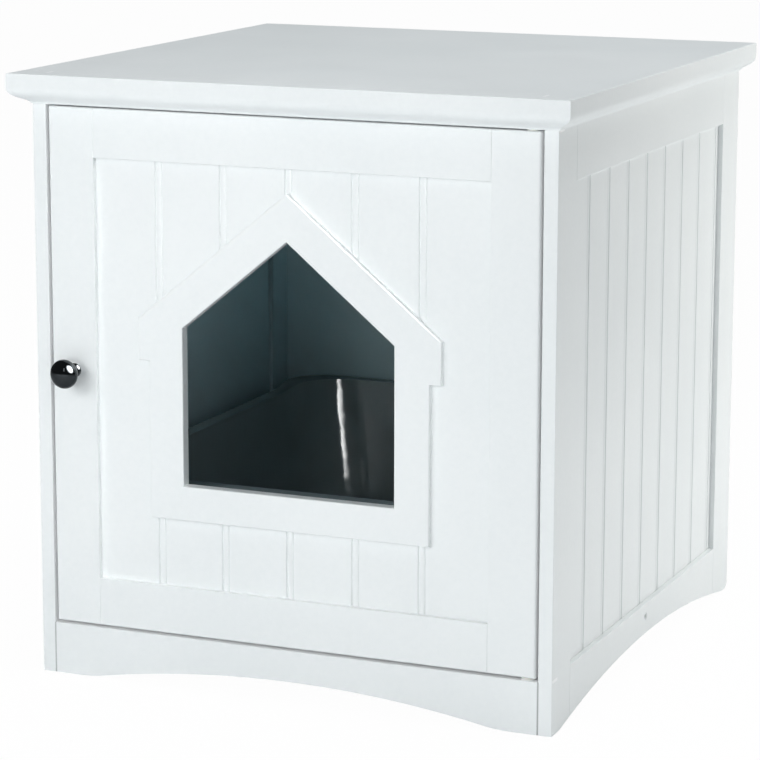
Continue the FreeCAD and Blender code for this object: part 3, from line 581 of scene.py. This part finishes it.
def corners_round(points):
    """Corners of the smallest convex outline round flat points, without points along its sides."""
    def half(ordered):
        chain = []
        for p in ordered:
            while len(chain) > 1 and turn(chain[-2], chain[-1], p) <= 1e-7:
                chain.pop()
            chain.append(p)
        return chain[:-1]

    def turn(a, b, c):
        return (b[0] - a[0]) * (c[1] - a[1]) - (b[1] - a[1]) * (c[0] - a[0])

    ordered = sorted(set(points))
    return half(ordered) + half(ordered[::-1])


def doorway():
    """Corners of the doorway in X and Z, read from the panel of the frame."""
    low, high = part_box("door_panel")
    rim = 0.02
    inside = []
    for vert in NODES["door_panel"].data.vertices:
        x, _, z = vert.co
        if low.z + rim < z < high.z - rim and low.x + rim < x < high.x - rim:
            inside.append((round(x, 6), round(z, 6)))
    return corners_round(inside)


def door_panel():
    """Beaded panel of the door with the doorway cut through it."""
    low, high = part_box("door_panel")
    corners = doorway()
    middle = (min(x for x, z in corners) + max(x for x, z in corners)) / 2
    pitch = 0.0583
    beads = 5
    past = 0.01
    piece = grown("door_panel_beaded", BEADBOARD, {
        "Left": low.x, "Right": high.x, "Bottom": low.z, "Top": high.z, "Thickness": high.y - low.y,
        "First bead": middle - (beads - 1) / 2 * pitch, "Bead pitch": pitch, "Beads": beads,
        "Finish": WHITE}, polyline("start", START_LINE))
    placed(piece, 0.0, (0.0, low.y, 0.0))
    tidied(piece)
    cutter = prism("doorway_cutter", [(x, low.y - past, z) for x, z in corners], (0.0, 3 * past, 0.0))
    tidied(cut_by(piece, cutter))
    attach(piece, "door")
    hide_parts("door_panel")


def side_panel(side):
    """Beaded panel of one side, its face outwards."""
    node = side + "_side_panel"
    low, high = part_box(node)
    pitch = 0.0492
    beads = 8
    first_bead = 0.085
    stile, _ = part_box(side + "_side_front_stile")
    first = stile.y + first_bead
    last = first + (beads - 1) * pitch
    right = side == "right"
    start = first if right else -last
    ends = (low.y, high.y) if right else (-high.y, -low.y)
    piece = grown(node + "_beaded", BEADBOARD, {
        "Left": ends[0], "Right": ends[1], "Bottom": low.z, "Top": high.z, "Thickness": high.x - low.x,
        "First bead": start, "Bead pitch": pitch, "Beads": beads, "Finish": WHITE},
        polyline("start", START_LINE))
    placed(piece, math.pi / 2 if right else -math.pi / 2, (high.x if right else low.x, 0.0, 0.0))
    tidied(piece)
    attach(piece, "cabinet")
    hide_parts(node)


door_panel()
side_panel("right")
side_panel("left")


# ---- dowels, bolts and screws ------------------------------------------------------------------
def islands(node):
    """Separate solids of a node, each as its list of points."""
    work = bmesh.new()
    work.from_mesh(NODES[node].data)
    bmesh.ops.remove_doubles(work, verts=work.verts, dist=SAME_POINT)
    left = set(work.verts)
    found = []
    while left:
        todo = [left.pop()]
        points = []
        while todo:
            vert = todo.pop()
            points.append(vert.co.copy())
            for edge in vert.link_edges:
                other = edge.other_vert(vert)
                if other in left:
                    left.remove(other)
                    todo.append(other)
        found.append(points)
    work.free()
    return sorted(found, key=lambda points: tuple(round(v, 4) for v in points_box(points)[0]))


def points_box(points):
    """Lowest and highest corner of some points."""
    low = Vector([min(p[k] for p in points) for k in range(3)])
    high = Vector([max(p[k] for p in points) for k in range(3)])
    return low, high


def headed(points):
    """Start, direction and length of a round piece along its longest axis, from its thicker end."""
    clearly_thicker = 1e-5
    low, high = points_box(points)
    size = high - low
    axis = max(range(3), key=lambda k: size[k])
    middle = (low + high) / 2
    reach = {-1: 0.0, 1: 0.0}
    for p in points:
        away = p - middle
        end = 1 if away[axis] > 0 else -1
        away[axis] = 0.0
        reach[end] = max(reach[end], away.length)
    sign = -1 if reach[1] > reach[-1] + clearly_thicker else 1
    heading = Vector((0.0, 0.0, 0.0))
    heading[axis] = sign
    start = middle.copy()
    start[axis] = low[axis] if sign > 0 else high[axis]
    return start, heading, size[axis]


def repeat_on(node, body, unit, unit_length, finish, suffix):
    """The unit piece set in place of every solid of a node."""
    places = [headed(points) for points in islands(node)]
    host = bpy.data.meshes.new(node + "_places")
    host.from_pydata([tuple(start) for start, _, _ in places], [], [])
    host.attributes.new("heading", "FLOAT_VECTOR", "POINT")
    host.attributes.new("stretch", "FLOAT", "POINT")
    for k, (_, direction, length) in enumerate(places):
        host.attributes["heading"].data[k].vector = direction
        host.attributes["stretch"].data[k].value = length / unit_length
    piece = smoothed(grown(node + suffix, REPEATED, {"Piece": unit, "Finish": finish}, host))
    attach(piece, body)
    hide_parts(node)


def unit_piece(name, outline, sizes):
    """Turned piece that stands on the origin along Z, from its half outline of radii and heights."""
    line = polyline(name + "_line", [(radius, 0.0, height) for radius, height in outline])
    return tidied(grown(name, TURNED, {"Finish": ZINC, **sizes}, line))


def thread(pitch, depth, start, end, rings, segments=33):
    """Sizes of a thread between two heights, and how finely its piece is turned."""
    return {"Pitch": pitch, "Thread depth": depth, "Thread from": start, "Thread to": end,
            "Rings": rings, "Segments": segments}


def recessed(unit, outline, depth):
    """Unit piece with a recess of a flat outline cut into its head."""
    above = 0.001
    corners = [(x, y, -above) for x, y in outline]
    return cut_by(unit, prism("recess", corners, (0.0, 0.0, above + depth)))


def cross_recess(unit, width, thickness, depth):
    """Cross recess cut into the head of a unit piece."""
    for across, along in ((width, thickness), (thickness, width)):
        x, y = across / 2, along / 2
        recessed(unit, [(-x, -y), (x, -y), (x, y), (-x, y)], depth)
    return tidied(unit)


def hexagon_recess(unit, radius, depth):
    """Hexagon socket cut into the head of a unit piece."""
    angles = [k * math.pi / 3 for k in range(6)]
    return tidied(recessed(unit, [(radius * math.cos(a), radius * math.sin(a)) for a in angles], depth))


def dowel_unit(length):
    """Fluted dowel with bevelled ends."""
    radius = 0.003
    end_radius = radius - 0.0007
    bevel = 0.0012
    outline = [(0.0, 0.0), (end_radius, 0.0), (radius, bevel), (radius, length / 2),
               (radius, length - bevel), (end_radius, length), (0.0, length)]
    return unit_piece("dowel_unit", outline,
                      {"Segments": 61, "Rings": 22, "Flutes": 12.0, "Flute depth": 0.08})


def cam_bolt_unit(length):
    """Cam bolt: a ball for the cam, a neck, a shank, a collar that stops it, and a coarse thread."""
    ball, neck, shank, collar, core = 0.0029, 0.0014, 0.0022, 0.0024, 0.0017
    ball_rounding = 0.0005
    tip = 0.0010
    outline = [(0.0, 0.0), (ball - ball_rounding, 0.0), (ball, ball_rounding), (ball, 0.0025),
               (ball - ball_rounding, 0.003), (neck, 0.0034), (neck, 0.006), (shank, 0.0068),
               (shank, 0.0225), (collar, 0.0227), (collar, 0.0248), (core, 0.0252),
               (core, length - 0.001), (tip, length), (0.0, length)]
    return unit_piece("cam_bolt_unit", outline, thread(
        pitch=0.0018, depth=0.0007, start=0.0256, end=0.0322, rings=160, segments=25))


def floor_screw_unit(length):
    """Floor screw: a thick head with a hexagon socket, a shoulder, and a coarse thread to its point."""
    head, shoulder, core = 0.0035, 0.0025, 0.0018
    head_rounding = 0.0003
    outline = [(0.0, 0.0), (head - head_rounding, 0.0), (head, head_rounding), (head, 0.0036),
               (shoulder, 0.0042), (shoulder, 0.0078), (core, 0.0084), (core, length - 0.0034),
               (0.0, length)]
    screw = unit_piece("floor_screw_unit", outline, thread(
        pitch=0.0028, depth=0.0007, start=0.0095, end=0.0455, rings=220, segments=29))
    return hexagon_recess(screw, radius=0.0023, depth=0.003)


def knob_screw_unit(length):
    """Machine screw with a domed head and a cross recess."""
    head, core = 0.0040, 0.0018
    head_height = 0.0024
    tip_bevel = 0.0004
    outline = [(0.0, 0.0), (head - 0.0010, 0.0001), (head - 0.0001, 0.0009), (head, head_height),
               (core, head_height), (core, length - tip_bevel), (core - tip_bevel, length), (0.0, length)]
    screw = unit_piece("knob_screw_unit", outline, thread(
        pitch=0.0009, depth=0.00022, start=0.0030, end=0.0218, rings=180))
    return cross_recess(screw, width=0.004, thickness=0.0009, depth=0.0013)


def catch_screw_unit(length):
    """Wood screw with a domed head and a cross recess."""
    head, core = 0.0030, 0.0011
    head_height = 0.0018
    point = 0.0020
    outline = [(0.0, 0.0), (head - 0.0008, 0.0001), (head - 0.0001, 0.0007), (head, head_height),
               (core, head_height), (core, length - point), (0.0, length)]
    screw = unit_piece("catch_screw_unit", outline, thread(
        pitch=0.0013, depth=0.0004, start=0.0024, end=0.0105, rings=120))
    return cross_recess(screw, width=0.0032, thickness=0.0007, depth=0.0009)


def strike_screw_unit(length):
    """Wood screw with a flat countersunk head and a cross recess."""
    head, under_head, core = 0.00243, 0.0013, 0.0010
    point = 0.0013
    outline = [(0.0, 0.0), (head, 0.0), (under_head, 0.0010), (core, 0.0014), (core, length - point),
               (0.0, length)]
    screw = unit_piece("strike_screw_unit", outline, thread(
        pitch=0.0011, depth=0.0003, start=0.0018, end=0.0074, rings=90))
    return cross_recess(screw, width=0.0026, thickness=0.0006, depth=0.0005)


def fasteners():
    """Dowels, cam bolts and screws with their flutes, threads and recesses."""
    length = 0.03
    dowel = dowel_unit(length)
    for node, body in (("side_frame_dowels", "cabinet"), ("carcass_dowels", "cabinet"),
                       ("door_frame_dowels", "door")):
        repeat_on(node, body, dowel, length, BEECH, "_fluted")
    for node, body, made_unit, length, finish in (
            ("cam_bolts", "cabinet", cam_bolt_unit, 0.0335, ZINC),
            ("floor_screws", "cabinet", floor_screw_unit, 0.0496, PAINTED_HEAD),
            ("knob_screw", "door", knob_screw_unit, 0.0224, ZINC),
            ("catch_screws", "cabinet", catch_screw_unit, 0.0128, ZINC),
            ("strike_screw", "door", strike_screw_unit, 0.0089, ZINC)):
        repeat_on(node, body, made_unit(length), length, finish, "_threaded")
    for name in [o.name for o in bpy.data.objects if o.name.split(".")[0].endswith("_unit")]:
        bpy.data.objects.remove(bpy.data.objects[name])


fasteners()


# ---- finishes of the frame's own pieces ----------------------------------------------------------
BY_SLOT = {"white_lacquer": WHITE, "zinc_plated_steel": ZINC, "chrome": CHROME, "white_nylon": NYLON,
           "ferrite": FERRITE, "dark_plastic": PAN, "beech": BEECH}
for name, node in NODES.items():
    for holder in node.material_slots:
        holder.material = BY_SLOT[holder.material.name.split(".")[0]]


# ---- floor, light and camera ---------------------------------------------------------------------
def floor():
    """Wide floor that looks white to the camera and through glass, and throws back light as pale paper."""
    mesh = bpy.data.meshes.new("studio_floor")
    reach = 60.0
    white_share = 0.98
    mesh.from_pydata([(-reach, -reach, 0), (reach, -reach, 0), (reach, reach, 0), (-reach, reach, 0)], [],
                     [(0, 1, 2, 3)])
    made = bpy.data.objects.new("studio_floor", mesh)
    bpy.context.scene.collection.objects.link(made)
    finish = bpy.data.materials.new("studio_paper")
    finish.use_nodes = True
    finish.node_tree.nodes.clear()
    g = Wire(finish.node_tree)
    paper = g.add("ShaderNodeBsdfDiffuse", None, {"Color": (0.86, 0.87, 0.88, 1.0)})
    glow = g.add("ShaderNodeEmission", None, {"Color": (1.0, 1.0, 1.0, 1.0), "Strength": 1.0})
    ray = g.add("ShaderNodeLightPath", out="Is Camera Ray")
    seen = ray.math("MINIMUM", ray + ray.out("Is Transmission Ray"), 1.0)
    mixed = g.add("ShaderNodeMixShader", None, {0: white_share * seen, 1: paper, 2: glow})
    g.add("ShaderNodeOutputMaterial", None, {"Surface": mixed})
    mesh.materials.append(finish)


def area_lamp(name, place, target, size, watts, tint):
    """Area lamp aimed at a point and hidden from the camera."""
    data = bpy.data.lights.new(name, "AREA")
    data.shape = "RECTANGLE"
    data.size, data.size_y = size
    data.energy = watts
    data.color = tint
    made = bpy.data.objects.new(name, data)
    made.location = place
    made.rotation_euler = (Vector(target) - Vector(place)).to_track_quat("-Z", "Y").to_euler()
    made.visible_camera = False
    bpy.context.scene.collection.objects.link(made)
    return made


def softbox(name, place, target, size, watts, tint):
    """Lamp that lights the object and doesn't show in its gloss."""
    area_lamp(name, place, target, size, watts, tint).visible_glossy = False


def reflected_card(name, place, target, size, watts, spread=180.0):
    """White lamp that shows only as a reflection, within its spread in degrees."""
    card = area_lamp(name, place, target, size, watts, (1.0, 1.0, 1.0))
    card.visible_diffuse = False
    card.data.spread = math.radians(spread)


def lights():
    """Softboxes in front, low in front, at the right, above and at the right rear, in a dim room.

    One card shows in the knob and one in the pan's corner.
    """
    middle = (0.0, 0.0, 0.25)
    daylight = (0.98, 0.99, 1.0)
    softbox("front_softbox", (-0.9, -2.2, 1.2), middle, (1.3, 1.0), 24.0, daylight)
    softbox("low_softbox", (-0.1, -2.7, 0.5), (0.0, 0.0, 0.28), (0.9, 0.5), 13.5, (0.96, 0.99, 1.0))
    softbox("right_softbox", (2.2, -2.2, 0.45), middle, (0.8, 0.8), 5.0, daylight)
    softbox("top_softbox", (0.35, 0.2, 2.6), (0.0, 0.0, 0.3), (1.6, 1.6), 39.0, (0.95, 0.98, 1.0))
    softbox("rear_softbox", (1.0, 0.65, 0.5), (0.2, 0.1, 0.28), (0.6, 0.6), 6.0, (1.0, 0.99, 0.96))
    knob = (-0.19, -0.25, 0.265)
    reflected_card("knob_card", (0.077, -0.517, 0.510), knob, (0.5, 0.45), 6.0, spread=60.0)
    reflected_card("strip_card", (-0.45, -2.6, 1.1), middle, (0.05, 0.7), 2.0)
    world = bpy.data.worlds.new("room")
    world.use_nodes = True
    room = world.node_tree.nodes["Background"].inputs
    room["Color"].default_value = (0.93, 0.97, 1.0, 1.0)
    room["Strength"].default_value = 0.12
    bpy.context.scene.world = world


def camera():
    """Camera at the photograph's place, with its long lens and its slight rise."""
    data = bpy.data.cameras.new("camera")
    data.sensor_width = 36.0
    data.lens = 144.75
    data.shift_x = 0.0014
    data.shift_y = -0.0345
    made = bpy.data.objects.new("camera", data)
    made.location = (1.0116, -2.4302, 0.7742)
    made.rotation_euler = [math.radians(a) for a in (78.766, -0.088, 22.971)]
    bpy.context.scene.collection.objects.link(made)
    bpy.context.scene.camera = made


floor()
lights()
camera()
bpy.context.scene.view_settings.view_transform = "Standard"
